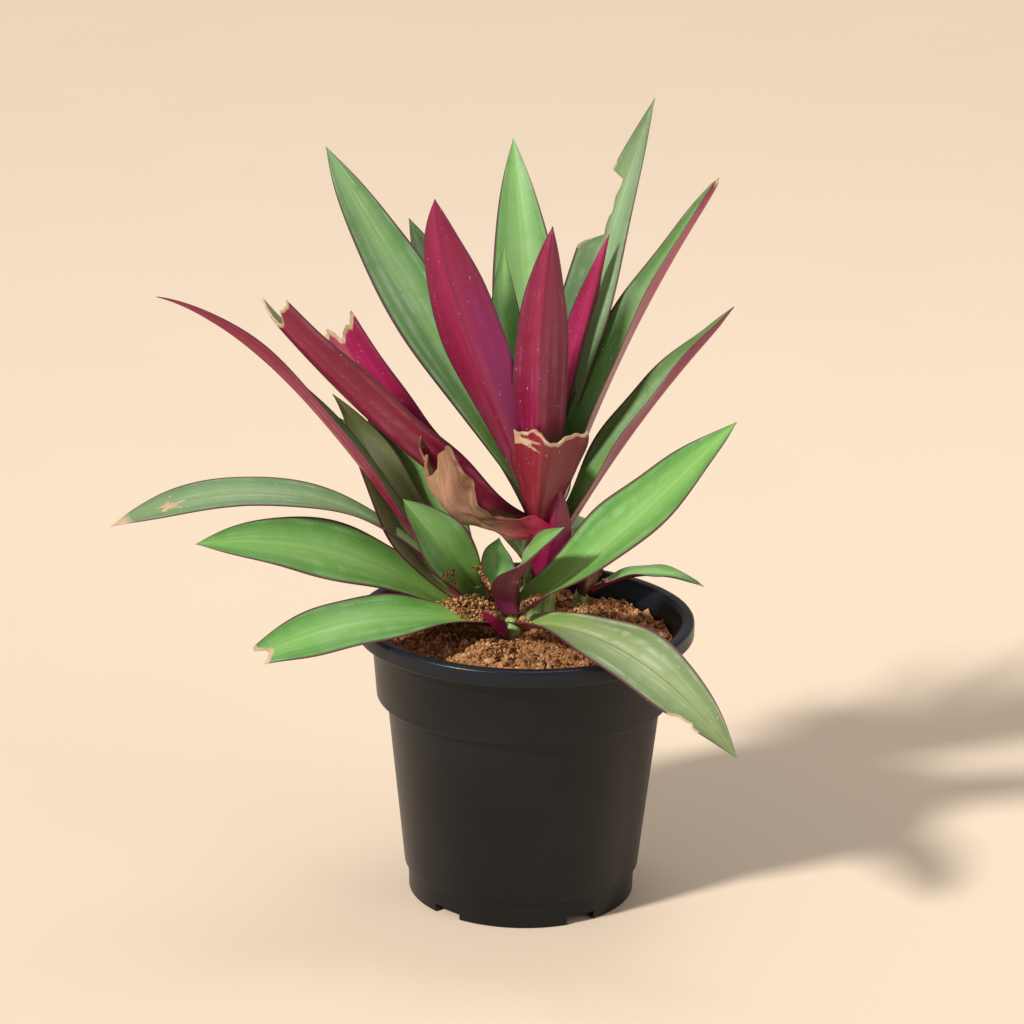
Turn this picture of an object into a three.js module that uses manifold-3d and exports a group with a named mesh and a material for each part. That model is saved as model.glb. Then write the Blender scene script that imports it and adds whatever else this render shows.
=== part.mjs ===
// Potted oyster plant (Tradescantia spathacea) in a black nursery pot.
// Millimetres, +Z up, origin at the centre of the foot plane, on the pot's axis.
import * as THREE from 'three';
import { mergeVertices } from 'three/addons/utils/BufferGeometryUtils.js';
import Module from 'manifold-3d';

const wasm = await Module();
wasm.setup();

// Pot: driving dimensions
const POT_SIDES = 60;
const POT_HEIGHT = 128.5;
const LIP_RADIUS = 75;
const LIP_HEIGHT = 7.5;
const LIP_INNER_RADIUS = 70;
const BAND_TOP_RADIUS = 68;
const BAND_BOTTOM_RADIUS = 65.5;
const BAND_BOTTOM = 91.5;
const BODY_TOP_RADIUS = 61;
const BODY_BOTTOM_RADIUS = 52.5;
const FOOT_RADIUS = 50.5;
const FOOT_HEIGHT = 12;
const WALL = 1.8;
const FLOOR_TOP = 5.5;
const FLOOR_UNDERSIDE = 3.5;
const FOOT_RING_WIDTH = 3;
const FOOT_RING_SLOPE = 1;
const FOOT_DRAFT = 0.5;
const FOOT_STEP = 0.6;
const BAND_STEP = 0.8;
const LIP_EDGE = 0.8;
const LIP_INNER_EDGE = 1.2;
const INNER_STEP = 2;
const CENTRE_PAD_RADIUS = 16;
const CENTRE_PAD_SLOPE = 2;
const NOTCH_COUNT = 5;
const NOTCH_WIDTH = 14;
const NOTCH_HEIGHT = 3.8;
const FIRST_NOTCH_ANGLE = -58;
const DRAIN_COUNT = 6;
const DRAIN_RADIUS = 4;
const DRAIN_CIRCLE = 32;
const DRAIN_SIDES = 16;

// Soil
const SOIL_LEVEL = 119;
const SOIL_RINGS = 7;
const SOIL_SIDES = 40;
const SOIL_BOTTOM = 6;
const WALL_CLEARANCE = 0.5;
const SOIL_RIM_CLEARANCE = 1.2;
const SOIL_WAVES = [
  { height: 1.6, x: 0.13, y: 0, phase: 1, acrossY: 0.11 },
  { height: 0.9, x: 0.31, y: -0.27, phase: 0, acrossY: 0 },
];
const CLUMP_SWELL = 0.16;
const CLUMP_WAVES = new THREE.Vector3(5, 3, 7);

// Plant
const GAP = 0.35;
const LEAF_THICKNESS = 1.2;
const LEAF_STATIONS = 10;
const ACROSS = [-1, -0.5, 0, 0.5, 1];
const LEAF_END = 0.06;
const MAIN = { x: 6, y: 28, radius: 8, top: 176 };
const MAIN_FRONT = { x: 16, y: 20 };
const LEFT = { x: -21, y: 6, radius: 4.5, top: 126 };
const FRONT = { x: -6, y: -5, radius: 4.5, top: 129 };
const SIDE = { x: 25, y: 35, radius: 3.5, top: 130 };
const STEM_BOTTOM = 104;
const STEM_SIDES = 12;
const STEM_FOOT_TAPER = 14;
const STEM_TIP_TAPER = 4;
const STEM_FOOT_SHARE = 0.8;
const STEM_SHOULDER_SHARE = 0.85;
const STEM_TIP_SHARE = 0.45;

const COLOURS = {
  pot: 0x1c1c1f, soil: 0x3b2a20, green: 0x5c7a2c, dark_green: 0x3d5430, grey_green: 0x8a9668,
  bright_green: 0x7f9c34, purple: 0x7a2f52, olive: 0x6a6334, brown: 0x7c5a3a, stem: 0xa9b878,
};
const ROUGHNESS = { pot: 0.45, stem: 0.6, leaf: 0.5, soil: 0.95 };

// Each leaf: the stem it grows from, the way it leaves it (degrees from +X), its level and distance
// from the stem's axis there, the points its midrib passes through on to its tip, its full width, and
// the angle its halves fold up from flat at the base, middle and tip. roll turns it about its midrib
// at base and tip. Where given, neck is its base's share of the width, widest how far along the
// widest place is, blunt the tip's share of the width, and taper how late it narrows.
const LEAVES = [
  { name: 'centre_purple_leaf', stem: MAIN, facing: 270, level: 172, out: 10,
    path: [[5, 8, 243], [9, 10, 302]], width: 31, fold: [58, 42, 28], roll: [0, 0], neck: 0.8,
    widest: 0.3, taper: 2.1, colour: 'purple' },
  { name: 'torn_cup', stem: MAIN, facing: 265, level: 162, out: 14,
    path: [[6, 6, 186], [8, 4, 210]], width: 46, fold: [60, 50, 46], roll: [0, 0], blunt: 0.92,
    neck: 0.4, widest: 0.9, colour: 'purple' },
  { name: 'tall_left_leaf', stem: MAIN, facing: 112, level: 172, out: 10,
    path: [[-52, 42, 259], [-91, 50, 327]], width: 29, fold: [50, 22, 12], roll: [0, 0],
    colour: 'green' },
  { name: 'left_purple_leaf', stem: MAIN, facing: 258, level: 176, out: 10,
    path: [[-29, 14, 258], [-42, 15, 312]], width: 32, fold: [50, 28, 16], roll: [0, 0],
    widest: 0.42, taper: 1.7, colour: 'purple' },
  { name: 'centre_back_leaf', stem: MAIN, facing: 95, level: 176, out: 9,
    path: [[-2, 58, 254], [-9, 90, 324]], width: 32, fold: [50, 22, 12], roll: [0, 0],
    colour: 'green' },
  { name: 'bitten_tall_leaf', stem: MAIN, facing: 76, level: 172, out: 10,
    path: [[26, 45, 264], [53, 55, 350]], width: 25, fold: [50, 22, 12], roll: [0, 0], taper: 1.7,
    bite: { from: 0.62, to: 0.82, side: 1, keep: 0.2 }, colour: 'grey_green' },
  { name: 'right_upper_leaf', stem: MAIN, facing: 40, level: 166, out: 10,
    path: [[42, 33, 244], [82, 45, 317]], width: 30, fold: [55, 42, 34], roll: [0, -34],
    blunt: 0.12, colour: 'green' },
  { name: 'right_middle_leaf', stem: MAIN, facing: 345, level: 158, out: 11,
    path: [[50, 23, 214], [89, 25, 264]], width: 28, fold: [55, 42, 35], roll: [40, 8],
    colour: 'green' },
  { name: 'rolled_left_leaf', stem: MAIN, facing: 225, level: 162, out: 11,
    path: [[-58, 13, 204], [-114, -5, 268]], width: 35, fold: [55, 50, 45], roll: [0, 0], blunt: 0.6,
    colour: 'purple' },
  { name: 'torn_left_leaf', stem: MAIN, facing: 200, level: 164, out: 10,
    path: [[-36, 32, 184], [-62, 38, 212], [-87, 40, 250]], width: 23, fold: [50, 32, 22],
    roll: [15, 55], blunt: 0.8, colour: 'purple' },
  { name: 'back_left_leaf', stem: MAIN, facing: 106, level: 166, out: 11,
    path: [[-27, 54, 232], [-55, 70, 291]], width: 30, fold: [50, 22, 12], roll: [0, 0],
    colour: 'dark_green' },
  { name: 'young_centre_leaf', stem: MAIN, facing: 100, level: 184, out: 3,
    path: [[-9, 40, 236], [-12, 50, 283]], width: 17, fold: [50, 26, 15], roll: [0, 0],
    colour: 'green' },
  { name: 'young_right_leaf', stem: MAIN, facing: 300, level: 182, out: 3,
    path: [[21, 35, 240], [34, 40, 292]], width: 17, fold: [60, 50, 40], roll: [0, 0],
    colour: 'purple' },
  { name: 'brown_curled_leaf', stem: MAIN_FRONT, facing: 215, level: 159, out: 6,
    path: [[-12, 6, 165], [-34, 0, 177], [-43, -4, 207]], width: 34, fold: [64, 60, 28],
    roll: [0, 0], blunt: 0.85, neck: 0.45, widest: 0.9, colour: 'brown' },
  { name: 'side_sheath', stem: MAIN, facing: 275, level: 136, out: 10,
    path: [[11, 13, 158], [14, 14, 184]], width: 22, fold: [50, 40, 25], roll: [0, 0],
    colour: 'purple' },
  { name: 'big_right_leaf', stem: FRONT, facing: 335, level: 133, out: 6,
    path: [[43, -22, 177], [88, -40, 230]], width: 38, fold: [45, 15, 10], roll: [30, 55],
    colour: 'bright_green' },
  { name: 'drooping_right_leaf', stem: FRONT, facing: 311, level: 127, out: 7,
    path: [[45, -64, 133], [90, -95, 99]], width: 34, fold: [35, 10, 8], roll: [0, 25],
    colour: 'grey_green' },
  { name: 'twisted_front_leaf', stem: FRONT, facing: 300, level: 133, out: 4,
    path: [[-2, -19, 155], [16, -37, 181]], width: 27, fold: [50, 32, 15], roll: [0, 65],
    colour: 'green' },
  { name: 'small_inner_leaf', stem: FRONT, facing: 120, level: 130, out: 5,
    path: [[-14, 6, 147], [-12, 9, 161]], width: 20, fold: [50, 30, 20], roll: [0, 0],
    colour: 'green' },
  { name: 'lower_left_leaf', stem: FRONT, facing: 215, level: 127, out: 8,
    path: [[-66, -37, 137], [-114, -60, 128]], width: 30, fold: [40, 10, 8], roll: [-5, -40],
    blunt: 0.3, colour: 'green' },
  { name: 'broad_left_leaf', stem: LEFT, facing: 200, level: 126, out: 7,
    path: [[-84, -14, 160], [-142, -35, 170]], width: 33, fold: [40, 10, 8], roll: [-25, -50],
    colour: 'green' },
  { name: 'long_left_leaf', stem: LEFT, facing: 185, level: 131, out: 7,
    path: [[-72, 0, 173], [-126, -12, 186], [-180, -25, 174]], width: 18, fold: [55, 18, 10],
    roll: [-10, -42], neck: 0.3, widest: 0.68, colour: 'grey_green' },
  { name: 'thin_left_leaf', stem: LEFT, facing: 215, level: 132, out: 6,
    path: [[-68, 2, 190], [-112, -3, 243], [-160, -10, 273]], width: 16, fold: [50, 38, 25],
    roll: [-55, 25], colour: 'purple' },
  { name: 'left_outer_leaf', stem: LEFT, facing: 130, level: 130, out: 4,
    path: [[-50, 9, 158], [-65, 11, 190], [-86, 15, 224]], width: 28, fold: [45, 20, 15],
    roll: [0, 0], colour: 'olive' },
  { name: 'left_inner_leaf', stem: LEFT, facing: 115, level: 130, out: 5,
    path: [[-49, 22, 184], [-73, 35, 224]], width: 32, fold: [45, 18, 12], roll: [0, 0],
    colour: 'dark_green' },
  { name: 'small_back_left_leaf', stem: LEFT, facing: 135, level: 126, out: 9,
    path: [[-60, 26, 180], [-96, 35, 212]], width: 18, fold: [50, 30, 20], roll: [0, 0],
    colour: 'green' },
  { name: 'small_front_left_leaf', stem: LEFT, facing: 150, level: 138, out: 4,
    path: [[-37, -5, 161], [-54, -10, 184]], width: 28, fold: [50, 35, 25], roll: [-30, -30],
    colour: 'green' },
  { name: 'purple_shoot', stem: FRONT, facing: 245, level: 121, out: 6,
    path: [[-13, -16, 128], [-19, -20, 137]], width: 10, fold: [50, 40, 20], roll: [0, 0],
    colour: 'purple' },
  { name: 'thin_right_leaf', stem: SIDE, facing: 350, level: 129, out: 5,
    path: [[55, 33, 138], [80, 27, 134]], width: 11, fold: [40, 25, 20], roll: [0, 20],
    colour: 'green' },
  { name: 'dry_stub', stem: SIDE, facing: 280, level: 128, out: 5,
    path: [[29, 28, 138], [30, 28, 147]], width: 14, fold: [50, 40, 30], roll: [0, 0], blunt: 0.6,
    colour: 'brown' },
  { name: 'back_low_leaf', stem: MAIN, facing: 88, level: 148, out: 10,
    path: [[8, 82, 162], [8, 122, 148]], width: 26, fold: [45, 20, 15], roll: [0, 0],
    colour: 'dark_green' },
  { name: 'back_low_left_leaf', stem: MAIN, facing: 128, level: 142, out: 10,
    path: [[-14, 68, 150], [-28, 100, 140]], width: 22, fold: [45, 20, 15], roll: [0, 0],
    colour: 'dark_green' },
  { name: 'back_low_right_leaf', stem: MAIN, facing: 62, level: 142, out: 10,
    path: [[24, 68, 150], [36, 97, 138]], width: 22, fold: [45, 20, 15], roll: [0, 0],
    colour: 'dark_green' },
];

// How far along a leaf its direction is measured over, and how near vertices must be to be one.
const NUDGE = 0.01;
const MERGE_WITHIN = 1e-4;

const radians = (degrees) => THREE.MathUtils.degToRad(degrees);
const smooth = (t) => t * t * (3 - 2 * t);

// The smooth curve that passes evenly through the stops, as t goes from 0 to 1.
function through(stops, t) {
  const last = stops.length - 1;
  return stops.reduce((total, stop, i) => {
    let share = 1;
    for (let k = 0; k <= last; k += 1) {
      if (k !== i) share *= (t * last - k) / (i - k);
    }
    return total + share * stop;
  }, 0);
}

// ---- solids ----

function mergedCopy(geometry) {
  const bare = geometry.clone();
  bare.deleteAttribute('normal');
  bare.deleteAttribute('uv');
  return mergeVertices(bare, MERGE_WITHIN);
}

function toManifold(geometry) {
  const merged = mergedCopy(geometry);
  return new wasm.Manifold(new wasm.Mesh({
    numProp: 3,
    vertProperties: new Float32Array(merged.attributes.position.array),
    triVerts: new Uint32Array(merged.index.array),
  }));
}

function toGeometry(manifold) {
  const mesh = manifold.getMesh();
  const geometry = new THREE.BufferGeometry();
  geometry.setAttribute('position', new THREE.BufferAttribute(mesh.vertProperties, 3));
  geometry.setIndex(new THREE.BufferAttribute(mesh.triVerts, 1));
  geometry.computeVertexNormals();
  return geometry;
}

// The same shape with its skin moved out by a distance.
function swollen(geometry, distance) {
  const grown = mergedCopy(geometry);
  grown.computeVertexNormals();
  const place = grown.attributes.position;
  const normal = grown.attributes.normal;
  for (let i = 0; i < place.count; i += 1) {
    place.setXYZ(
      i,
      place.getX(i) + normal.getX(i) * distance,
      place.getY(i) + normal.getY(i) * distance,
      place.getZ(i) + normal.getZ(i) * distance,
    );
  }
  return grown;
}

function largestBody(manifold) {
  return manifold.decompose().sort((a, b) => b.volume() - a.volume())[0];
}

function lathe(outline, sides) {
  const points = outline.map(([r, z]) => new THREE.Vector2(r, z));
  return new THREE.LatheGeometry(points, sides).rotateX(Math.PI / 2);
}

// A closed skin over a grid of points: front and back sheets joined round their border.
function slab(front, back) {
  const rows = front.length;
  const columns = front[0].length;
  const positions = [...front.flat(), ...back.flat()].flatMap((p) => [p.x, p.y, p.z]);
  const at = (row, column, sheet) => sheet * rows * columns + row * columns + column;
  const index = [];
  const quad = (a, b, c, d) => index.push(a, b, c, a, c, d);
  for (let r = 0; r < rows - 1; r += 1) {
    for (let c = 0; c < columns - 1; c += 1) {
      quad(at(r, c, 0), at(r + 1, c, 0), at(r + 1, c + 1, 0), at(r, c + 1, 0));
      quad(at(r, c, 1), at(r, c + 1, 1), at(r + 1, c + 1, 1), at(r + 1, c, 1));
    }
    const last = columns - 1;
    quad(at(r, 0, 0), at(r, 0, 1), at(r + 1, 0, 1), at(r + 1, 0, 0));
    quad(at(r, last, 0), at(r + 1, last, 0), at(r + 1, last, 1), at(r, last, 1));
  }
  for (let c = 0; c < columns - 1; c += 1) {
    const end = rows - 1;
    quad(at(0, c, 0), at(0, c + 1, 0), at(0, c + 1, 1), at(0, c, 1));
    quad(at(end, c, 0), at(end, c, 1), at(end, c + 1, 1), at(end, c + 1, 0));
  }
  const geometry = new THREE.BufferGeometry();
  geometry.setAttribute('position', new THREE.Float32BufferAttribute(positions, 3));
  geometry.setIndex(index);
  return geometry;
}

// ---- leaves ----

function widthShare(t, { neck = 0.5, widest = 0.45, blunt = 0, taper = 1.9 }) {
  if (t < widest) return neck + (1 - neck) * smooth(t / widest);
  const past = (t - widest) / (1 - widest);
  return Math.max(LEAF_END, blunt + (1 - blunt) * (1 - past ** taper));
}

function leafRoot({ stem, facing, level, out }) {
  const angle = radians(facing);
  return new THREE.Vector3(stem.x + out * Math.cos(angle), stem.y + out * Math.sin(angle), level);
}

function leafFrame(leaf, t) {
  const root = leafRoot(leaf);
  const point = new THREE.Vector3();
  const along = new THREE.Vector3();
  ['x', 'y', 'z'].forEach((axis, k) => {
    const stops = [root[axis], ...leaf.path.map((stop) => stop[k])];
    point[axis] = through(stops, t);
    along[axis] = through(stops, t + NUDGE) - through(stops, t - NUDGE);
  });
  along.normalize();
  const angle = radians(leaf.facing);
  const across = new THREE.Vector3(-Math.sin(angle), Math.cos(angle), 0);
  across.addScaledVector(along, -across.dot(along)).normalize();
  across.applyAxisAngle(along, radians(leaf.roll[0] + (leaf.roll[1] - leaf.roll[0]) * t));
  const upper = new THREE.Vector3().crossVectors(along, across).normalize();
  return { point, across, upper };
}

function leafGeometry(leaf) {
  const upperSheet = [];
  const underSheet = [];
  for (let i = 0; i < LEAF_STATIONS; i += 1) {
    const t = i / (LEAF_STATIONS - 1);
    const { point, across, upper } = leafFrame(leaf, t);
    const fold = radians(through(leaf.fold, t));
    const half = (leaf.width / 2) * widthShare(t, leaf);
    const upperRow = [];
    const underRow = [];
    ACROSS.forEach((u) => {
      const bitten = leaf.bite && Math.sign(u) === leaf.bite.side
        && t > leaf.bite.from && t < leaf.bite.to;
      const reach = u * half * (bitten ? leaf.bite.keep : 1);
      const place = point.clone()
        .addScaledVector(across, reach * Math.cos(fold))
        .addScaledVector(upper, Math.abs(reach) * Math.sin(fold));
      const outward = across.clone().multiplyScalar(Math.sign(u) * Math.sin(fold))
        .addScaledVector(upper, -Math.cos(fold))
        .normalize();
      upperRow.push(place);
      underRow.push(place.clone().addScaledVector(outward, LEAF_THICKNESS));
    });
    upperSheet.push(upperRow);
    underSheet.push(underRow);
  }
  return slab(upperSheet, underSheet);
}

// ---- stems ----

function stemGeometry({ x, y, radius, top }) {
  const outline = [
    [0, STEM_BOTTOM], [radius * STEM_FOOT_SHARE, STEM_BOTTOM],
    [radius, STEM_BOTTOM + STEM_FOOT_TAPER], [radius * STEM_SHOULDER_SHARE, top - STEM_TIP_TAPER],
    [radius * STEM_TIP_SHARE, top], [0, top],
  ];
  return lathe(outline, STEM_SIDES).translate(x, y, 0);
}

// ---- pot ----

// The body's inner wall at a height.
const innerRadius = (z) => BODY_BOTTOM_RADIUS - WALL
  + (BODY_TOP_RADIUS - BODY_BOTTOM_RADIUS) * ((z - FOOT_HEIGHT) / (BAND_BOTTOM - FOOT_HEIGHT));

function potSolid() {
  const lipBottom = POT_HEIGHT - LIP_HEIGHT;
  const ringInner = FOOT_RADIUS - FOOT_RING_WIDTH;
  const outline = [
    [0, 0], [CENTRE_PAD_RADIUS, 0], [CENTRE_PAD_RADIUS + CENTRE_PAD_SLOPE, FLOOR_UNDERSIDE],
    [ringInner - FOOT_RING_SLOPE, FLOOR_UNDERSIDE], [ringInner, 0], [FOOT_RADIUS, 0],
    [FOOT_RADIUS + FOOT_DRAFT, FOOT_HEIGHT], [BODY_BOTTOM_RADIUS, FOOT_HEIGHT + FOOT_STEP],
    [BODY_TOP_RADIUS, BAND_BOTTOM], [BAND_BOTTOM_RADIUS, BAND_BOTTOM + BAND_STEP],
    [BAND_TOP_RADIUS, lipBottom], [LIP_RADIUS - LIP_EDGE, lipBottom],
    [LIP_RADIUS, lipBottom + LIP_EDGE], [LIP_RADIUS, POT_HEIGHT - LIP_EDGE],
    [LIP_RADIUS - LIP_EDGE, POT_HEIGHT], [LIP_INNER_RADIUS, POT_HEIGHT],
    [LIP_INNER_RADIUS - LIP_INNER_EDGE, POT_HEIGHT - LIP_INNER_EDGE],
    [BAND_TOP_RADIUS - WALL, lipBottom - INNER_STEP],
    [BAND_BOTTOM_RADIUS - WALL, BAND_BOTTOM + INNER_STEP],
    [innerRadius(BAND_BOTTOM - INNER_STEP), BAND_BOTTOM - INNER_STEP],
    [innerRadius(FOOT_HEIGHT + INNER_STEP), FOOT_HEIGHT + INNER_STEP],
    [FOOT_RADIUS - WALL, FLOOR_TOP], [0, FLOOR_TOP],
  ];
  let pot = toManifold(lathe(outline, POT_SIDES));
  for (let i = 0; i < NOTCH_COUNT; i += 1) {
    const notch = new THREE.BoxGeometry(FOOT_RING_WIDTH * 4, NOTCH_WIDTH, NOTCH_HEIGHT * 2);
    notch.translate(FOOT_RADIUS, 0, 0);
    notch.rotateZ(radians(FIRST_NOTCH_ANGLE + (i * 360) / NOTCH_COUNT));
    pot = pot.subtract(toManifold(notch));
  }
  for (let i = 0; i < DRAIN_COUNT; i += 1) {
    const angle = (i * 2 * Math.PI) / DRAIN_COUNT;
    const drain = new THREE.CylinderGeometry(DRAIN_RADIUS, DRAIN_RADIUS, FLOOR_TOP * 3, DRAIN_SIDES);
    drain.rotateX(Math.PI / 2);
    drain.translate(DRAIN_CIRCLE * Math.cos(angle), DRAIN_CIRCLE * Math.sin(angle), FLOOR_TOP);
    pot = pot.subtract(toManifold(drain));
  }
  return pot;
}

// ---- soil ----

function soilHeight(x, y) {
  return SOIL_WAVES.reduce((level, wave) => level
    + wave.height * Math.sin(x * wave.x + y * wave.y + wave.phase) * Math.cos(y * wave.acrossY),
  SOIL_LEVEL);
}

function soilGeometry() {
  const topRadius = BAND_TOP_RADIUS - WALL - SOIL_RIM_CLEARANCE;
  const lowStep = FOOT_HEIGHT + 2 * INNER_STEP;
  const underBand = BAND_BOTTOM - INNER_STEP;
  const overBand = BAND_BOTTOM + 2 * INNER_STEP;
  const rows = [];
  const wallProfile = [
    [FOOT_RADIUS - WALL - 2 * WALL_CLEARANCE, SOIL_BOTTOM],
    [innerRadius(lowStep) - WALL_CLEARANCE, lowStep],
    [innerRadius(underBand) - WALL_CLEARANCE, underBand],
    [BAND_BOTTOM_RADIUS - WALL - 2 * WALL_CLEARANCE, overBand],
  ];
  wallProfile.forEach(([r, z]) => rows.push({ r, z: () => z }));
  for (let i = SOIL_RINGS; i > 0; i -= 1) {
    rows.push({ r: (topRadius * i) / SOIL_RINGS, z: soilHeight });
  }
  const positions = [0, 0, SOIL_BOTTOM];
  rows.forEach(({ r, z }) => {
    for (let k = 0; k < SOIL_SIDES; k += 1) {
      const angle = (2 * Math.PI * k) / SOIL_SIDES;
      const x = r * Math.cos(angle);
      const y = r * Math.sin(angle);
      positions.push(x, y, z(x, y));
    }
  });
  positions.push(0, 0, soilHeight(0, 0));
  const crown = 1 + rows.length * SOIL_SIDES;
  const index = [];
  for (let k = 0; k < SOIL_SIDES; k += 1) {
    const next = (k + 1) % SOIL_SIDES;
    index.push(0, 1 + next, 1 + k);
    for (let r = 0; r < rows.length - 1; r += 1) {
      const low = 1 + r * SOIL_SIDES;
      const high = low + SOIL_SIDES;
      index.push(low + k, low + next, high + next, low + k, high + next, high + k);
    }
    const rim = 1 + (rows.length - 1) * SOIL_SIDES;
    index.push(rim + k, rim + next, crown);
  }
  const geometry = new THREE.BufferGeometry();
  geometry.setAttribute('position', new THREE.Float32BufferAttribute(positions, 3));
  geometry.setIndex(index);
  return geometry;
}

const CLUMPS = [
  { name: 'soil_clump_left', at: [-36, -4, 121], size: [6, 5, 4] },
  { name: 'soil_clump_front', at: [-14, -27, 121], size: [9, 6, 4.5] },
  { name: 'soil_clump_right', at: [36, 12, 121], size: [10, 7, 5] },
  { name: 'soil_clump_back', at: [-12, 46, 121], size: [8, 6, 4.5] },
];

function clumpGeometry({ at, size }) {
  const lump = mergedCopy(new THREE.IcosahedronGeometry(1, 1));
  const place = lump.attributes.position;
  const point = new THREE.Vector3();
  for (let i = 0; i < place.count; i += 1) {
    point.fromBufferAttribute(place, i);
    point.multiplyScalar(1 + CLUMP_SWELL * Math.sin(point.dot(CLUMP_WAVES)));
    place.setXYZ(i, ...point);
  }
  return lump.scale(...size).translate(...at);
}

// ---- assembly: each piece is cut clear of the pieces placed before it ----

const group = new THREE.Group();
const placed = [];

function add(name, solid, colour, roughness) {
  const material = new THREE.MeshStandardMaterial({ color: COLOURS[colour], roughness });
  const mesh = new THREE.Mesh(toGeometry(solid), material);
  mesh.name = name;
  group.add(mesh);
}

function grow(name, geometry, colour, roughness) {
  let solid = toManifold(geometry);
  placed.forEach((clearance) => {
    solid = solid.subtract(clearance);
  });
  solid = largestBody(solid);
  placed.push(toManifold(swollen(geometry, GAP)));
  add(name, solid, colour, roughness);
}

const pot = potSolid();
placed.push(toManifold(swollen(toGeometry(pot), GAP)));
add('nursery_pot', pot, 'pot', ROUGHNESS.pot);

const stemNames = { main_stem: MAIN, left_stem: LEFT, front_stem: FRONT, side_stem: SIDE };
Object.entries(stemNames).forEach(([name, stem]) => {
  grow(name, stemGeometry(stem), 'stem', ROUGHNESS.stem);
});
LEAVES.forEach((leaf) => grow(leaf.name, leafGeometry(leaf), leaf.colour, ROUGHNESS.leaf));
CLUMPS.forEach((clump) => grow(clump.name, clumpGeometry(clump), 'soil', ROUGHNESS.soil));
grow('potting_soil', soilGeometry(), 'soil', ROUGHNESS.soil);

export default group;
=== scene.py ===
"""Looks of a potted oyster plant: leaves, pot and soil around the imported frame."""
import math

import bmesh
import bpy
import numpy as np
from mathutils import Matrix, Vector
from mathutils.bvhtree import BVHTree


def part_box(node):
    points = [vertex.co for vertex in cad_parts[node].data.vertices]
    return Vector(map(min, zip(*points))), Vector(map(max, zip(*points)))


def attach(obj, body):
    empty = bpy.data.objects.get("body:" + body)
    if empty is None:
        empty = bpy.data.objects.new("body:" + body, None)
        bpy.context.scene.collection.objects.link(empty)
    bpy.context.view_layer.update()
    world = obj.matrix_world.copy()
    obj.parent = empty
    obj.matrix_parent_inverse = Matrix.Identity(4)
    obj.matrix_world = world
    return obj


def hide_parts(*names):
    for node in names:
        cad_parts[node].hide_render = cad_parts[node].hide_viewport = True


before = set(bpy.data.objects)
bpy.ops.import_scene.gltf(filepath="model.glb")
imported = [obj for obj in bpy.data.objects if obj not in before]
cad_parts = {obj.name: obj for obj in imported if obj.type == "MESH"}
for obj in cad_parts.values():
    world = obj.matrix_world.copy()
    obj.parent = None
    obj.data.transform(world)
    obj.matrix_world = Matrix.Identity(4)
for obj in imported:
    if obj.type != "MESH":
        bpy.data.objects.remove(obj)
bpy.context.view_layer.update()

MM = 0.001
ROOT = "root"
rng = np.random.RandomState(11)

# ---------------------------------------------------------------- leaves: the plant's dimensions

MAIN = (6, 28)
MAIN_FRONT = (16, 20)
LEFT = (-21, 6)
FRONT = (-6, -5)
SIDE = (25, 35)

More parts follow.
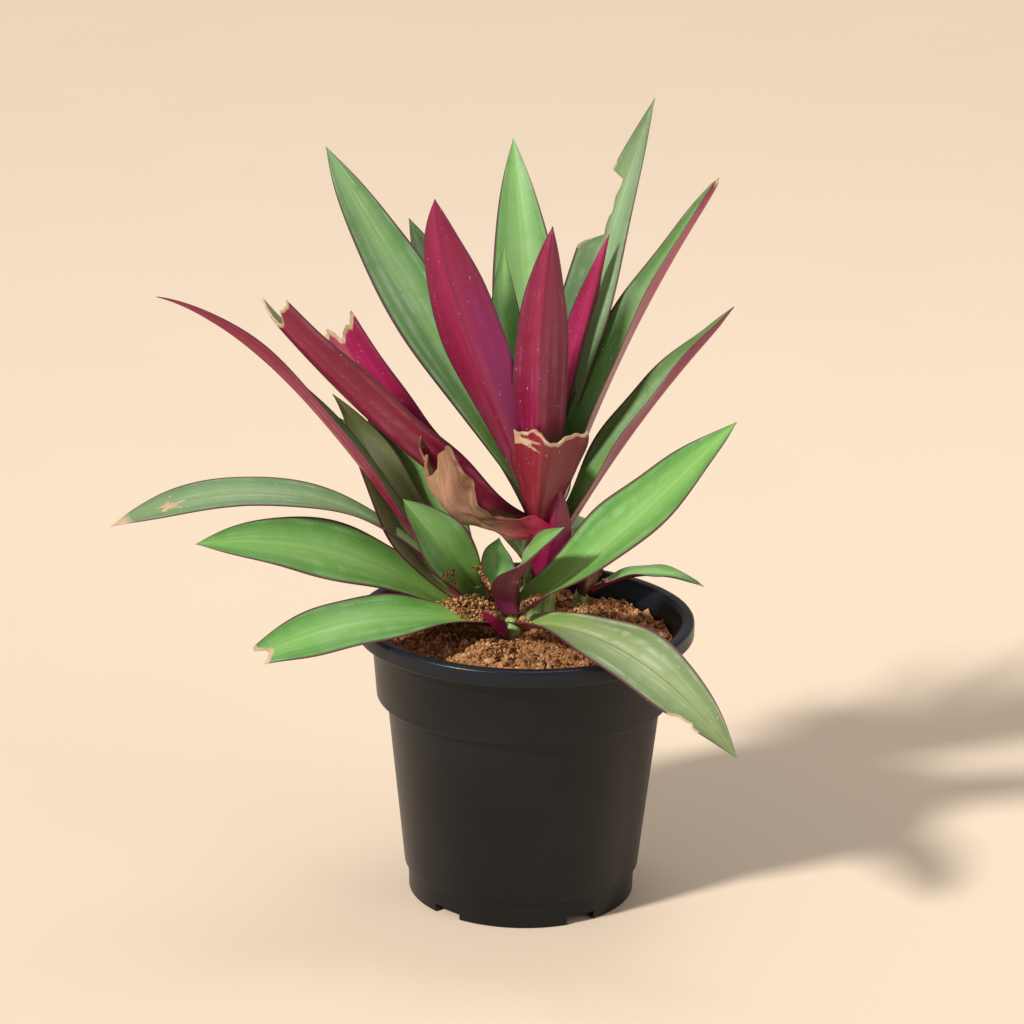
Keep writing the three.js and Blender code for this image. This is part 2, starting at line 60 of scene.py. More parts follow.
# Each leaf grows from a stem at a level, faces some degrees from +X, and its midrib passes
# through the points of its path. Sizes are in millimetres. fold is how far the two halves rise,
# at base, middle and tip, and roll turns the blade about its midrib, at base and tip. neck is the
# base's share of the width, widest how far along the widest place is, taper how late the leaf
# narrows, and blunt the tip's share of the width. tear is how deep the end is torn, lean how it
# slants, and each notch there is (middle, depth, reach). A bite is (start, end, side, width left),
# a scar is (along, across, size), dry_end is the share of the length that is dry, and crumple is
# the height of the crumples.
LEAVES = {
    "centre_purple_leaf": dict(stem=MAIN, facing=270, level=172, out=10,
        path=[(5, 8, 243), (9, 10, 302)], width=31, fold=(58, 42, 28), neck=0.8, widest=0.3,
        taper=2.1, upper="green", under="wine_streaked"),
    "torn_cup": dict(stem=MAIN, facing=265, level=162, out=14, path=[(6, 6, 186), (8, 4, 213)],
        width=46, fold=(60, 50, 46), neck=0.4, widest=0.9, blunt=0.92, tear=0.15, lean=0.8,
        upper="olive", under="wine_brown", dry_end=0.05, scars=[(0.84, -0.72, 0.05)]),
    "tall_left_leaf": dict(stem=MAIN, facing=112, level=172, out=10,
        path=[(-52, 42, 259), (-91, 50, 327)], width=29, fold=(50, 22, 12), upper="silver_green",
        under="wine"),
    "left_purple_leaf": dict(stem=MAIN, facing=258, level=176, out=10,
        path=[(-29, 14, 258), (-42, 15, 312)], width=32, fold=(50, 28, 16), widest=0.42, taper=1.7,
        upper="green", under="wine"),
    "centre_back_leaf": dict(stem=MAIN, facing=95, level=176, out=9,
        path=[(-2, 58, 254), (-9, 90, 324)], width=32, fold=(50, 22, 12), upper="fresh_green",
        under="wine"),
    "bitten_tall_leaf": dict(stem=MAIN, facing=76, level=172, out=10,
        path=[(26, 45, 264), (53, 55, 350)], width=25, fold=(50, 22, 12), taper=1.7,
        bites=[(0.64, 0.8, 1, 0.12)], upper="grey_green", under="wine"),
    "right_upper_leaf": dict(stem=MAIN, facing=40, level=166, out=10,
        path=[(42, 33, 244), (82, 45, 317)], width=30, fold=(55, 42, 34), roll=(0, -34),
        blunt=0.12, tear=0.02, upper="deep_green", under="crimson", dry_end=0.015),
    "right_middle_leaf": dict(stem=MAIN, facing=345, level=158, out=11,
        path=[(50, 23, 214), (89, 25, 264)], width=28, fold=(55, 42, 35), roll=(40, 8),
        upper="deep_green", under="wine"),
    "rolled_left_leaf": dict(stem=MAIN, facing=225, level=162, out=11,
        path=[(-58, 13, 204), (-114, -5, 268)], width=35, fold=(55, 50, 45), blunt=0.6, tear=0.03,
        lean=-0.6, notches=[(0.15, 0.035, 0.3)], upper="olive", under="wine_scuffed",
        dry_end=0.012),
    "torn_left_leaf": dict(stem=MAIN, facing=200, level=164, out=10,
        path=[(-36, 32, 184), (-62, 38, 212), (-87, 40, 251)], width=23, fold=(50, 32, 22),
        roll=(15, 55), blunt=0.8, tear=0.06, lean=0.5, upper="green", under="crimson",
        dry_end=0.03),
    "back_left_leaf": dict(stem=MAIN, facing=106, level=166, out=11,
        path=[(-27, 54, 232), (-55, 70, 291)], width=30, fold=(50, 22, 12), upper="silver_green",
        under="wine"),
    "young_centre_leaf": dict(stem=MAIN, facing=100, level=184, out=3,
        path=[(-9, 40, 236), (-12, 50, 283)], width=17, fold=(50, 26, 15), upper="fresh_green",
        under="wine"),
    "young_right_leaf": dict(stem=MAIN, facing=300, level=182, out=3,
        path=[(21, 35, 240), (34, 40, 292)], width=17, fold=(60, 50, 40), upper="deep_green",
        under="crimson"),
    "brown_curled_leaf": dict(stem=MAIN_FRONT, facing=215, level=159, out=6,
        path=[(-12, 6, 165), (-34, 0, 177), (-43, -4, 209)], width=34, fold=(64, 60, 28),
        neck=0.45, widest=0.9, blunt=0.85, tear=0.09, lean=0.1, notches=[(0.05, 0.1, 0.25)],
        crumple=2.2, upper="brown", under="brown_pink"),
    "side_sheath": dict(stem=MAIN, facing=275, level=136, out=10,
        path=[(11, 13, 158), (14, 14, 184)], width=22, fold=(50, 40, 25), upper="crimson",
        under="wine"),
    "big_right_leaf": dict(stem=FRONT, facing=335, level=133, out=6,
        path=[(43, -22, 177), (88, -40, 230)], width=38, fold=(45, 15, 10), roll=(30, 55),
        upper="bright_green", under="wine"),
    "drooping_right_leaf": dict(stem=FRONT, facing=311, level=127, out=7,
        path=[(45, -64, 133), (90, -95, 99)], width=34, fold=(35, 10, 8), roll=(0, 25),
        bites=[(0.79, 0.84, -1, 0.78)], upper="mottled", under="wine"),
    "twisted_front_leaf": dict(stem=FRONT, facing=300, level=133, out=4,
        path=[(-2, -19, 155), (16, -37, 181)], width=27, fold=(50, 32, 15), roll=(0, 65),
        upper="green", under="mauve"),
    "small_inner_leaf": dict(stem=FRONT, facing=120, level=130, out=5,
        path=[(-14, 6, 147), (-12, 9, 161)], width=20, fold=(50, 30, 20), upper="green",
        under="wine"),
    "lower_left_leaf": dict(stem=FRONT, facing=215, level=127, out=8,
        path=[(-66, -37, 137), (-114, -60, 128)], width=30, fold=(40, 10, 8), roll=(-5, -40),
        blunt=0.3, tear=0.04, lean=-0.4, notches=[(0.1, 0.025, 0.4)], upper="bright_green",
        under="wine", dry_end=0.035),
    "broad_left_leaf": dict(stem=LEFT, facing=200, level=126, out=7,
        path=[(-84, -14, 160), (-142, -35, 170)], width=33, fold=(40, 10, 8), roll=(-25, -50),
        upper="bright_green", under="wine"),
    "long_left_leaf": dict(stem=LEFT, facing=185, level=131, out=7,
        path=[(-72, 0, 173), (-126, -12, 186), (-180, -25, 174)], width=18, fold=(55, 18, 10),
        roll=(-10, -42), neck=0.3, widest=0.68, upper="grey_green", under="wine", dry_end=0.08,
        scars=[(0.84, 0.1, 0.03)]),
    "thin_left_leaf": dict(stem=LEFT, facing=215, level=132, out=6,
        path=[(-68, 2, 190), (-112, -3, 243), (-160, -10, 273)], width=16, fold=(50, 38, 25),
        roll=(-60, 25), upper="deep_green", under="wine_scuffed"),
    "left_outer_leaf": dict(stem=LEFT, facing=130, level=130, out=4,
        path=[(-50, 9, 158), (-65, 11, 190), (-86, 15, 224)], width=28, fold=(45, 20, 15),
        upper="olive", under="wine"),
    "left_inner_leaf": dict(stem=LEFT, facing=115, level=130, out=5,
        path=[(-49, 22, 184), (-73, 35, 224)], width=32, fold=(45, 18, 12), upper="green",
        under="wine"),
    "small_back_left_leaf": dict(stem=LEFT, facing=135, level=126, out=9,
        path=[(-60, 26, 180), (-96, 35, 212)], width=18, fold=(50, 30, 20), upper="green",
        under="wine"),
    "small_front_left_leaf": dict(stem=LEFT, facing=150, level=138, out=4,
        path=[(-37, -5, 161), (-54, -10, 184)], width=28, fold=(50, 35, 25), roll=(-30, -30),
        upper="green", under="wine"),
    "purple_shoot": dict(stem=FRONT, facing=245, level=121, out=6,
        path=[(-13, -16, 128), (-19, -20, 137)], width=10, fold=(50, 40, 20), upper="wine",
        under="wine"),
    "thin_right_leaf": dict(stem=SIDE, facing=350, level=129, out=5,
        path=[(55, 33, 138), (80, 27, 134)], width=11, fold=(40, 25, 20), roll=(0, 20),
        upper="green", under="wine", dry_end=0.08),
    "dry_stub": dict(stem=SIDE, facing=280, level=128, out=5, path=[(29, 28, 138), (30, 28, 147)],
        width=14, fold=(50, 40, 30), blunt=0.6, tear=0.1, crumple=0.5, upper="brown",
        under="brown"),
    "back_low_leaf": dict(stem=MAIN, facing=88, level=148, out=10,
        path=[(8, 82, 162), (8, 122, 148)], width=26, fold=(45, 20, 15), upper="deep_green",
        under="wine"),
    "back_low_left_leaf": dict(stem=MAIN, facing=128, level=142, out=10,
        path=[(-14, 68, 150), (-28, 100, 140)], width=22, fold=(45, 20, 15), upper="deep_green",
        under="wine"),
    "back_low_right_leaf": dict(stem=MAIN, facing=62, level=142, out=10,
        path=[(24, 68, 150), (36, 97, 138)], width=22, fold=(45, 20, 15), upper="green",
        under="wine"),
}

STATIONS = 72
COLUMNS = 25
RIB_THICKNESS = 1.2
MARGIN_THICKNESS = 0.4
MARGIN_WAVE = 0.55
BITE_RUN_IN = 0.035
LEAF_END = 0.012
NUDGE = 0.01
MARGIN_CROWDING = 0.85
FOLD_AT_RIB = 1.08
FOLD_EASING = 0.22
WIDTH_WAVE = 0.022
CREASE_WIDTH = 0.22
CREASE_FILL = 0.11
RIB_BULGE = 0.45
RIB_WIDTH = 0.09
NARROW_HALF = 6
THIN_HALF = 5
THIN_SHARE = 0.25

# ---------------------------------------------------------------- colours (linear RGB)

GREEN_HEART = (0.24, 0.42, 0.05)
RIB_COLOUR = (0.36, 0.56, 0.20)
WINE_HEART = (0.20, 0.02, 0.05)

# edge is the tone by the margin, middle the tone by the midrib, and sheen the colour of a painted
# sheen, long pale silvery or mauve streaks of painted highlight. heart is the tone at the leaf's base.
FINISHES = {
    "green": dict(edge=(0.07, 0.19, 0.04), middle=(0.20, 0.42, 0.11), sheen=(0.38, 0.56, 0.30),
        streaks=0.35, rough=0.40, heart=GREEN_HEART),
    "fresh_green": dict(edge=(0.11, 0.27, 0.06), middle=(0.25, 0.50, 0.15), sheen=(0.42, 0.62, 0.32),
        streaks=0.35, rough=0.40, heart=GREEN_HEART),
    "silver_green": dict(edge=(0.10, 0.22, 0.07), middle=(0.22, 0.42, 0.15), sheen=(0.44, 0.60, 0.46),
        streaks=0.7, rough=0.38, heart=GREEN_HEART),
    "deep_green": dict(edge=(0.05, 0.13, 0.03), middle=(0.14, 0.29, 0.07), sheen=(0.32, 0.46, 0.26),
        streaks=0.4, rough=0.38, heart=GREEN_HEART),
    "bright_green": dict(edge=(0.06, 0.21, 0.04), middle=(0.20, 0.45, 0.10), sheen=(0.38, 0.58, 0.32),
        streaks=0.4, rough=0.38, heart=GREEN_HEART),
    "grey_green": dict(edge=(0.12, 0.23, 0.10), middle=(0.24, 0.39, 0.18), sheen=(0.42, 0.56, 0.40),
        streaks=0.6, rough=0.48, heart=GREEN_HEART),
    "mottled": dict(edge=(0.13, 0.21, 0.07), middle=(0.27, 0.37, 0.15), sheen=(0.52, 0.56, 0.40),
        streaks=0.75, rough=0.58, heart=GREEN_HEART),
    "olive": dict(edge=(0.13, 0.19, 0.06), middle=(0.27, 0.34, 0.13), sheen=(0.36, 0.28, 0.18),
        streaks=0.5, rough=0.45, heart=GREEN_HEART),
    "mauve": dict(edge=(0.20, 0.02, 0.055), middle=(0.30, 0.06, 0.13), sheen=(0.44, 0.20, 0.28),
        streaks=0.45, rough=0.4, heart=(0.26, 0.01, 0.11)),
    "wine": dict(edge=(0.19, 0.003, 0.034), middle=(0.29, 0.006, 0.062), sheen=(0.36, 0.03, 0.17),
        streaks=0.45, rough=0.36, heart=WINE_HEART),
    "crimson": dict(edge=(0.26, 0.004, 0.045), middle=(0.42, 0.010, 0.095), sheen=(0.48, 0.06, 0.24),
        streaks=0.5, rough=0.36, heart=(0.16, 0.01, 0.06)),
    "wine_streaked": dict(edge=(0.15, 0.003, 0.028), middle=(0.27, 0.008, 0.055),
        sheen=(0.40, 0.09, 0.20), streaks=0.5, rough=0.36, heart=WINE_HEART),
    "wine_scuffed": dict(edge=(0.18, 0.005, 0.030), middle=(0.28, 0.010, 0.050),
        sheen=(0.42, 0.14, 0.18), streaks=0.55, rough=0.42, heart=WINE_HEART),
    "wine_brown": dict(edge=(0.17, 0.008, 0.016), middle=(0.27, 0.018, 0.036), sheen=(0.34, 0.09, 0.08),
        streaks=0.4, rough=0.38, heart=(0.12, 0.01, 0.02)),
    "brown": dict(edge=(0.10, 0.045, 0.022), middle=(0.36, 0.18, 0.10), sheen=(0.56, 0.36, 0.24),
        streaks=0.7, rough=0.8, heart=(0.10, 0.04, 0.02)),
    "brown_pink": dict(edge=(0.18, 0.07, 0.04), middle=(0.52, 0.28, 0.18), sheen=(0.72, 0.46, 0.33),
        streaks=0.7, rough=0.72, heart=(0.72, 0.012, 0.12)),
}
MARGIN_COLOUR = (0.10, 0.018, 0.045, 1)
# Painted violet sheen, laid on one half of the purple skins.
VIOLET_SHEEN = (0.25, 0.003, 0.13, 1)
RIB_BROWN = (0.20, 0.06, 0.05, 1)
TIP_OLIVE = (0.12, 0.17, 0.05, 1)
DRY_COLOUR = (0.50, 0.31, 0.17, 1)
CREAM_COLOUR = (0.70, 0.52, 0.34, 1)
DUST_COLOUR = (0.74, 0.76, 0.66, 1)


# ---------------------------------------------------------------- node helpers

class Graph:
    """A material's node tree, with short ways to add and join nodes."""

    def __init__(self, name):
        self.material = bpy.data.materials.new(name)
        self.material.use_nodes = True
        self.nodes = self.material.node_tree.nodes
        self.links = self.material.node_tree.links
        self.shader = self.nodes["Principled BSDF"]

    def add(self, kind, **settings):
        node = self.nodes.new(kind)
        for key, value in settings.items():
            setattr(node, key, value)
        return node

    def put(self, socket, value):
        if isinstance(value, bpy.types.NodeSocket):
            self.links.new(value, socket)
        else:
            socket.default_value = value

    def math(self, operation, a, b=0.0):
        node = self.add("ShaderNodeMath", operation=operation)
        self.put(node.inputs[0], a)
        self.put(node.inputs[1], b)
        return node.outputs[0]

    def ramp(self, value, low, high):
        node = self.add("ShaderNodeMapRange")
        node.interpolation_type = "SMOOTHSTEP"
        self.put(node.inputs["Value"], value)
        node.inputs["From Min"].default_value = low
        node.inputs["From Max"].default_value = high
        return node.outputs["Result"]

    def mix(self, factor, a, b):
        node = self.add("ShaderNodeMix", data_type="RGBA")
        self.put(node.inputs["Factor"], factor)
        self.put(node.inputs["A"], a)
        self.put(node.inputs["B"], b)
        return node.outputs["Result"]

    def noise(self, vector, scale, detail=3.0, rough=0.5):
        node = self.add("ShaderNodeTexNoise")
        self.put(node.inputs["Vector"], vector)
        node.inputs["Scale"].default_value = scale
        node.inputs["Detail"].default_value = detail
        node.inputs["Roughness"].default_value = rough
        return node.outputs["Fac"]

    def stretched(self, vector, scale):
        node = self.add("ShaderNodeMapping")
        self.put(node.inputs["Vector"], vector)
        node.inputs["Scale"].default_value = scale
        return node.outputs["Vector"]

    def bump(self, height, strength, distance, normal=None):
        node = self.add("ShaderNodeBump")
        self.put(node.inputs["Height"], height)
        node.inputs["Strength"].default_value = strength
        node.inputs["Distance"].default_value = distance
        if normal is not None:
            self.put(node.inputs["Normal"], normal)
        return node.outputs["Normal"]


def colour(rgb):
    return (*rgb, 1)


def leaf_material(finish):
    """Waxy leaf skin: a paler middle, long veins, streaks of painted sheen, a dark margin, dry patches.
    """
    look = FINISHES[finish]
    is_green = "green" in finish or finish in ("mottled", "olive")
    is_brown = finish.startswith("brown")
    g = Graph("leaf_" + finish)
    uv = g.add("ShaderNodeUVMap", uv_map="Leaf").outputs["UV"]
    place = g.add("ShaderNodeTexCoord").outputs["Object"]
    split = g.add("ShaderNodeSeparateXYZ")
    g.put(split.inputs[0], uv)
    across, along = split.outputs["X"], split.outputs["Y"]
    from_rib = g.math("MULTIPLY", g.math("ABSOLUTE", g.math("SUBTRACT", across, 0.5)), 2.0)
    veins = g.noise(g.stretched(uv, (64, 1.6, 1)), 1.0, 3.0, 0.6)
    streaks = g.noise(g.stretched(uv, (9, 1.5, 1)), 1.0, 2.0, 0.5)
    blotch = g.noise(place, 120.0, 4.0, 0.6)
    near_rib = g.math("SUBTRACT", 1.0, g.ramp(from_rib, 0.0, 0.85))
    tone = g.math("ADD", g.math("MULTIPLY", near_rib, 0.45), g.math("MULTIPLY", veins, 0.55))
    tone = g.math("ADD", tone, g.math("MULTIPLY", blotch, 0.26))
    base = g.mix(g.ramp(tone, 0.1, 0.85), colour(look["edge"]), colour(look["middle"]))
    # Painted sheen: long streaks of the sheen colour, a painted highlight laid over the blade.
    painted_sheen_band = g.math("MULTIPLY", g.ramp(streaks, 0.45, 0.7), g.ramp(blotch, 0.3, 0.62))
    base = g.mix(g.math("MULTIPLY", painted_sheen_band, look["streaks"]), base, colour(look["sheen"]))
    rib = g.math("SUBTRACT", 1.0, g.ramp(from_rib, 0.0, 0.12))
    if is_green:
        base = g.mix(g.math("MULTIPLY", rib, 0.45), base, colour(RIB_COLOUR))
    if finish in ("mottled", "grey_green"):
        thin_rib = g.math("SUBTRACT", 1.0, g.ramp(from_rib, 0.01, 0.05))
        base = g.mix(g.math("MULTIPLY", thin_rib, 0.6), base, RIB_BROWN)
        tip = g.math("MULTIPLY", g.ramp(along, 0.72, 0.97), g.ramp(blotch, 0.2, 0.6))
        base = g.mix(g.math("MULTIPLY", tip, 0.6), base, TIP_OLIVE)
    # On the purple skins the middle by the midrib is darkened: painted shade in the fold.
    if not is_green and not is_brown:
        base = g.mix(g.math("MULTIPLY", rib, 0.4), base, colour([c * 0.45 for c in look["edge"]]))
    # Painted violet sheen on the right half, towards the base, of the wine and crimson skins.
    if finish in ("wine", "crimson"):
        low_half = g.math("SUBTRACT", 1.0, g.ramp(along, 0.3, 0.75))
        violet_sheen = g.math("MULTIPLY", g.ramp(across, 0.52, 0.68), low_half)
        base = g.mix(g.math("MULTIPLY", violet_sheen, 0.75), base, VIOLET_SHEEN)
    near_base = g.math("SUBTRACT", 1.0, g.ramp(along, 0.06, 0.5 if is_brown else 0.36))
    heart_share = g.math("MULTIPLY", near_base, 0.95 if is_brown else 0.5)
    base = g.mix(heart_share, base, colour(look["heart"]))
    if not is_brown:
        margin = g.math("MULTIPLY", g.ramp(from_rib, 0.9, 0.965), 0.9)
        base = g.mix(margin, base, MARGIN_COLOUR)
        specks = g.ramp(g.noise(g.stretched(place, (820, 820, 380)), 1.0, 2.0, 0.7), 0.7, 0.76)
        base = g.mix(g.math("MULTIPLY", specks, 0.55), base, DUST_COLOUR)
    dry = g.add("ShaderNodeAttribute", attribute_name="dry").outputs["Fac"]
    uneven = g.math("MULTIPLY", g.math("SUBTRACT", blotch, 0.5), 0.6)
    dried = g.ramp(g.math("ADD", dry, uneven), 0.3, 0.6)
    base = g.mix(dried, base, g.mix(g.ramp(blotch, 0.3, 0.7), DRY_COLOUR, CREAM_COLOUR))
    g.put(g.shader.inputs["Base Color"], base)
    worn = g.math("MULTIPLY", g.math("ADD", veins, blotch), 0.14)
    g.put(g.shader.inputs["Roughness"], g.math("ADD", worn, look["rough"] - 0.14))
    ridges = g.bump(veins, 0.7 if is_brown else 0.22, 0.0012 if is_brown else 0.0004)
    g.put(g.shader.inputs["Normal"], g.bump(blotch, 0.3, 0.0007, ridges))
    g.shader.inputs["Specular IOR Level"].default_value = 0.2 if is_brown else 0.5
    g.shader.inputs["Coat Weight"].default_value = 0.25 if is_green else 0.0 if is_brown else 0.1
    g.shader.inputs["Coat Roughness"].default_value = 0.22
    return g.material


def pot_material():
    """Black moulded plastic: a little cloudy, finely scuffed round its girth, dusty at the lip, with a
    painted reflection there.
    """
    g = Graph("black_nursery_plastic")
    place = g.add("ShaderNodeTexCoord").outputs["Object"]
    cloudy = g.noise(place, 22.0, 4.0, 0.55)
    scuffs = g.noise(g.stretched(place, (260, 260, 1800)), 1.0, 3.0, 0.6)
    base = g.mix(g.ramp(cloudy, 0.3, 0.75), (0.0035, 0.0036, 0.0045, 1), (0.0075, 0.0078, 0.009, 1))
    grit = g.ramp(g.noise(place, 900.0, 2.0, 0.7), 0.72, 0.78)
    high = g.add("ShaderNodeSeparateXYZ")
    g.put(high.inputs[0], place)
    near_lip = g.ramp(high.outputs["Z"], 0.112, 0.129)
    # The lip is painted a lighter bluish black: a painted reflection.
    base = g.mix(g.math("MULTIPLY", near_lip, 0.8), base, (0.011, 0.015, 0.022, 1))
    amount = g.math("ADD", g.math("MULTIPLY", near_lip, 0.5), 0.12)
    base = g.mix(g.math("MULTIPLY", grit, amount), base, (0.36, 0.32, 0.28, 1))
    g.put(g.shader.inputs["Base Color"], base)
    rough = g.math("ADD", g.math("MULTIPLY", cloudy, 0.14), g.math("MULTIPLY", scuffs, 0.1))
    gloss = g.math("SUBTRACT", g.math("ADD", rough, 0.27), g.math("MULTIPLY", near_lip, 0.07))
    g.put(g.shader.inputs["Roughness"], gloss)
    g.put(g.shader.inputs["Normal"], g.bump(scuffs, 0.12, 0.0003))
    g.shader.inputs["Specular IOR Level"].default_value = 0.26
    return g.material


def soil_material():
    """Crumbly coir mix: dark, brown and sandy bits by each lump's tone, on the bed partly painted
    shade.
    """
    g = Graph("coir_potting_soil")
    place = g.add("ShaderNodeTexCoord").outputs["Object"]
    tone = g.add("ShaderNodeAttribute", attribute_name="tone").outputs["Fac"]
    fine = g.noise(place, 900.0, 4.0, 0.65)
    patch = g.noise(place, 60.0, 3.0, 0.6)
    level = g.math("ADD", g.math("MULTIPLY", tone, 0.6), g.math("MULTIPLY", fine, 0.4))
    base = g.mix(g.ramp(level, 0.16, 0.44), (0.04, 0.016, 0.007, 1), (0.38, 0.17, 0.065, 1))
    base = g.mix(g.ramp(level, 0.44, 0.8), base, (0.68, 0.38, 0.18, 1))
    base = g.mix(g.math("MULTIPLY", g.ramp(patch, 0.5, 0.7), 0.25), base, (0.62, 0.37, 0.20, 1))
    g.put(g.shader.inputs["Base Color"], base)
    g.shader.inputs["Roughness"].default_value = 0.95
    g.shader.inputs["Specular IOR Level"].default_value = 0.15
    g.put(g.shader.inputs["Normal"], g.bump(fine, 0.5, 0.0008))
    return g.material


def stem_material():
    """Pale green flesh, streaked along the stem, with reddish rings."""
    g = Graph("fleshy_stem")
    place = g.add("ShaderNodeTexCoord").outputs["Object"]
    streak = g.noise(g.stretched(place, (420, 420, 40)), 1.0, 3.0, 0.5)
    rings = g.noise(g.stretched(place, (20, 20, 300)), 1.0, 2.0, 0.5)
    base = g.mix(g.ramp(streak, 0.3, 0.7), (0.14, 0.26, 0.05, 1), (0.42, 0.58, 0.20, 1))
    base = g.mix(g.math("MULTIPLY", g.ramp(rings, 0.55, 0.7), 0.35), base, (0.24, 0.08, 0.08, 1))
    g.put(g.shader.inputs["Base Color"], base)
    g.shader.inputs["Roughness"].default_value = 0.45
    g.put(g.shader.inputs["Normal"], g.bump(streak, 0.3, 0.0005))
    return g.material


def plain_material(name, rgb, roughness):
    """A matt paper, faintly uneven."""
    g = Graph(name)
    place = g.add("ShaderNodeTexCoord").outputs["Object"]
    grain = g.noise(place, 6.0, 2.0, 0.5)
    paler = colour([min(1, c * 1.04) for c in rgb])
    g.put(g.shader.inputs["Base Color"], g.mix(grain, colour(rgb), paler))
    g.shader.inputs["Roughness"].default_value = roughness
    return g.material


LEAF_MATERIALS = {finish: leaf_material(finish) for finish in FINISHES}
POT = pot_material()
SOIL = soil_material()
STEM = stem_material()


# ---------------------------------------------------------------- mesh helpers

def make_object(name, vertices, faces, materials):
    mesh = bpy.data.meshes.new(name)
    mesh.from_pydata([tuple(v) for v in vertices], [], [tuple(f) for f in faces])
    mesh.update()
    for material in materials:
        mesh.materials.append(material)
    piece = bpy.data.objects.new(name, mesh)
    bpy.context.scene.collection.objects.link(piece)
    return piece


def smooth_shade(piece, sharp_degrees):
    mesh = piece.data
    mesh.polygons.foreach_set("use_smooth", [True] * len(mesh.polygons))
    mesh.set_sharp_from_angle(angle=math.radians(sharp_degrees))


def finish_piece(piece, nodes):
    """Tie a piece to the body and hide the nodes that it stands for."""
    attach(piece, ROOT)
    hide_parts(*nodes)


def through(stops, t):
    """The smooth curve that passes evenly through the stops, as t goes from 0 to 1."""
    last = len(stops) - 1
    total = 0
    for i, stop in enumerate(stops):
        share = 1.0
        for k in range(last + 1):
            if k != i:
                share *= (t * last - k) / (i - k)
        total += share * stop
    return total


def smooth(t):
    return t * t * (3 - 2 * t)


# ---------------------------------------------------------------- leaves

def phase_of(name):
    """An angle of each leaf's own, so that no two leaves wave alike."""
    return (sum(ord(letter) for letter in name) % 97) / 97 * 2 * math.pi


def width_share(t, leaf):
    neck = leaf.get("neck", 0.5)
    widest = leaf.get("widest", 0.45)
    blunt = leaf.get("blunt", 0)
    if t < widest:
        return neck + (1 - neck) * smooth(t / widest)
    past = (t - widest) / (1 - widest)
    return max(LEAF_END, blunt + (1 - blunt) * (1 - past ** leaf.get("taper", 1.9)))


def leaf_root(leaf):
    angle = math.radians(leaf["facing"])
    x, y = leaf["stem"]
    out = leaf["out"]
    return Vector((x + out * math.cos(angle), y + out * math.sin(angle), leaf["level"]))


def leaf_frame(leaf, t):
    root = leaf_root(leaf)
    stops = [[root[k]] + [point[k] for point in leaf["path"]] for k in range(3)]
    point = Vector([through(s, t) for s in stops])
    along = Vector([through(s, t + NUDGE) - through(s, t - NUDGE) for s in stops]).normalized()
    angle = math.radians(leaf["facing"])
    across = Vector((-math.sin(angle), math.cos(angle), 0))
    across = (across - along * across.dot(along)).normalized()
    start, end = leaf.get("roll", (0, 0))
    across = Matrix.Rotation(math.radians(start + (end - start) * t), 3, along) @ across
    upper = along.cross(across).normalized()
    return point, across, upper


def end_of(leaf, u, phase):
    """How far along the leaf reaches at u: a torn end is ragged, may slant, and may have notches."""
    tear = leaf.get("tear", 0)
    if not tear:
        return 1.0
    ragged = math.sin(3.1 * u + phase) + 0.5 * math.sin(7.7 * u + 2 * phase)
    ragged += 0.16 * math.sin(23 * u + phase)
    missing = tear * (0.5 + 0.35 * ragged - 0.5 * leaf.get("lean", 0) * u)
    for middle, depth, reach in leaf.get("notches", ()):
        missing += depth * max(0, 1 - abs(u - middle) / reach) ** 0.7
    return 1.0 - max(0, missing)


def bitten_share(leaf, t, u):
    """Half-width left where something ate the margin: a gentle start and an abrupt end."""
    share = 1.0
    for start, end, side, keep in leaf.get("bites", ()):
        if u * side <= 0 or t < start - BITE_RUN_IN or t > end:
            continue
        fade = min(1.0, (t - start + BITE_RUN_IN) / (1.4 * BITE_RUN_IN))
        ragged = 0.05 * math.sin(95 * t) + 0.03 * math.sin(230 * t + 1)
        share = min(share, 1.0 + (keep + ragged - 1.0) * smooth(fade))
    return share


def leaf_rows(leaf, name):
    """Points of the upper and under skins and their dryness, row by row from base to tip."""
    phase = phase_of(name)
    spread = np.linspace(-1, 1, COLUMNS)
    spread = np.sign(spread) * np.abs(spread) ** MARGIN_CROWDING
    crumple = leaf.get("crumple", 0)
    upper_rows, under_rows, dry_rows = [], [], []
    for i in range(STATIONS):
        s = i / (STATIONS - 1)
        upper_row, under_row, dry_row = [], [], []
        for u in spread:
            t = s * end_of(leaf, u, phase)
            point, across, upper = leaf_frame(leaf, t)
            fold = math.radians(through(leaf["fold"], t)) * (FOLD_AT_RIB - FOLD_EASING * abs(u))
            half = leaf["width"] / 2 * width_share(t, leaf)
            half *= 1 + WIDTH_WAVE * math.sin(14 * t + phase + (2 if u > 0 else 0))
            half *= bitten_share(leaf, t, u)
            soft = min(1.0, abs(u) / CREASE_WIDTH)
            rise = math.sin(fold) * (abs(u) - CREASE_FILL * (1 - (1 - soft) ** 2))
            rise = max(0.0, rise)
            ripple = MARGIN_WAVE * u * u * math.sin(17 * t + phase + (1.7 if u > 0 else 0))
            if crumple:
                ripple += crumple * math.sin(11 * t + 3 * u + phase) * (0.3 + 0.7 * abs(u))
                creases = 0.45 * crumple * math.sin(19 * t - 7 * u)
                creases += 0.15 * crumple * math.sin(41 * t + 13 * u)
                ripple += creases
            fullness = min(1, half / NARROW_HALF)
            lift = half * rise + ripple * fullness
            place = point + across * (u * half * math.cos(fold)) + upper * lift
            sideways = across * (np.sign(u) * soft * math.sin(fold))
            outward = (sideways - upper * math.cos(fold)).normalized()
            thick = MARGIN_THICKNESS + (RIB_THICKNESS - MARGIN_THICKNESS) * (1 - u * u)
            thick += RIB_BULGE * math.exp(-(u / RIB_WIDTH) ** 2) * fullness
            thinning = min(1, THIN_SHARE + half / THIN_HALF)
            upper_row.append(place * MM)
            under_row.append((place + outward * thick * thinning) * MM)
            dry_row.append(dryness(leaf, s, t, u))
        upper_rows.append(upper_row)
        under_rows.append(under_row)
        dry_rows.append(dry_row)
    return upper_rows, under_rows, dry_rows, spread


